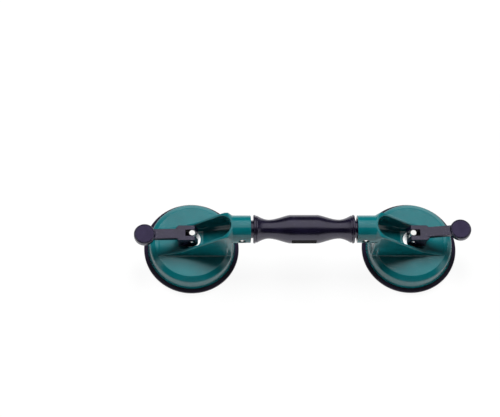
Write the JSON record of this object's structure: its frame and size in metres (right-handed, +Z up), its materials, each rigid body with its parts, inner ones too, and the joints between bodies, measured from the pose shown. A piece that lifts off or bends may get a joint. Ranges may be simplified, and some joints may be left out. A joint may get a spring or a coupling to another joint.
{
  "type": "vacuum suction cup lifter",
  "caption": "Suction lifter: a turned grip joins two tilting round heads, each with a rubber pad, pull stud and cam lever that draws the pad up to hold a smooth sheet.",
  "frame": {"origin": "middle of the lifter on the face that the pads stand on", "axes": "+X along the grip from the left head to the right one, +Z up away from the held sheet, +Y to the back"},
  "size_m": [0.422, 0.12, 0.0847],
  "materials": {
    "green_moulding": "semi-gloss, fine moulded grain",
    "dark_moulding": "satin black with a violet cast",
    "rubber": "satin",
    "steel": "turned",
    "bright_steel": "bright",
    "spring_steel": "blackened",
    "white_plastic": "smooth white"
  },
  "bodies": {
    "grip": {"grip_sleeve": "dark_moulding", "core_rod": "steel", "left_end_stub": "dark_moulding", "left_pivot_bush": "steel", "right_end_stub": "dark_moulding", "right_pivot_bush": "steel"},
    "left_head": {"left_head_shell": "green_moulding", "left_cam_washer": "white_plastic", "left_tilt_pin": "bright_steel", "left_pin_clips": "spring_steel", "left_suction_pad": "rubber"},
    "left_stud": {"left_pull_stud": "bright_steel", "left_pad_insert": "steel"},
    "left_lever_arm": {"left_lever": "dark_moulding", "left_lever_pin": "bright_steel"},
    "right_head": {"right_head_shell": "green_moulding", "right_cam_washer": "white_plastic", "right_tilt_pin": "bright_steel", "right_pin_clips": "spring_steel", "right_suction_pad": "rubber"},
    "right_stud": {"right_pull_stud": "bright_steel", "right_pad_insert": "steel"},
    "right_lever_arm": {"right_lever": "dark_moulding", "right_lever_pin": "bright_steel"}
  },
  "joints": [
    {"name": "left_tilt", "type": "hinge", "parent": "grip", "child": "left_head", "pos_m": [-0.0771, 0, 0.067], "axis": [0, 1, 0], "range_deg": [-8, 8]},
    {"name": "left_pull", "type": "slide", "parent": "left_head", "child": "left_stud", "axis": [0, 0, 1], "range_m": [-0.0073, 0], "deforming": ["left_suction_pad"]},
    {"name": "left_clamp", "type": "hinge", "parent": "left_stud", "child": "left_lever_arm", "pos_m": [-0.1385, 0, 0.0483], "axis": [0, 1, 0], "range_deg": [0, 100]},
    {"name": "right_tilt", "type": "hinge", "parent": "grip", "child": "right_head", "pos_m": [0.0771, 0, 0.067], "axis": [0, -1, 0], "range_deg": [-8, 8]},
    {"name": "right_pull", "type": "slide", "parent": "right_head", "child": "right_stud", "axis": [0, 0, 1], "range_m": [-0.0073, 0], "deforming": ["right_suction_pad"]},
    {"name": "right_clamp", "type": "hinge", "parent": "right_stud", "child": "right_lever_arm", "pos_m": [0.1385, 0, 0.0483], "axis": [0, -1, 0], "range_deg": [0, 100]}
  ],
  "couplings": [
    {"joint": "left_pull", "follows": "left_clamp", "m_per_rad": -0.0041825},
    {"joint": "right_pull", "follows": "right_clamp", "m_per_rad": -0.0041825}
  ]
}
